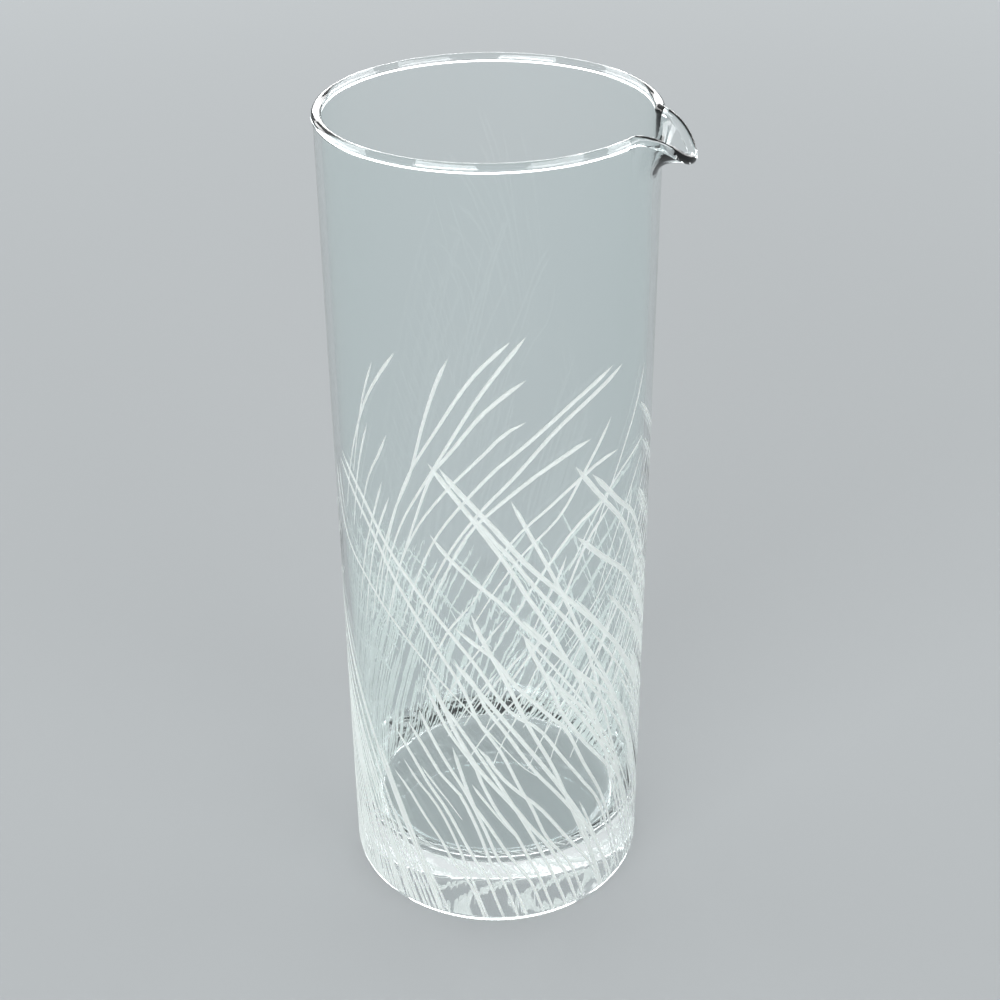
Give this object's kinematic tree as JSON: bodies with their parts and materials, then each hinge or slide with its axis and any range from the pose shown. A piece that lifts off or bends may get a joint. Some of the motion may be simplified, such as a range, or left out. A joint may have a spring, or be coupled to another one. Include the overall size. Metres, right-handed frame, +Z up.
{
  "type": "cocktail pitcher",
  "caption": "Tall straight-sided clear glass pitcher with a thick solid base, a rounded rim and a pulled pouring lip, wheel-cut with crossing grass-like strokes.",
  "frame": {"origin": "centre of the flat underside, at the level of the surface that it stands on", "axes": "+Z up along the axis of the straight wall, +X towards the pouring lip"},
  "size_m": [0.1005, 0.0908, 0.244],
  "materials": {
    "clear_glass": "clear fire-polished soda-lime glass, slightly aqua through its thickness, with wheel-cut ground strokes round the lower two thirds"
  },
  "bodies": {
    "root": {"pitcher_glass": "clear_glass"}
  },
  "joints": []
}
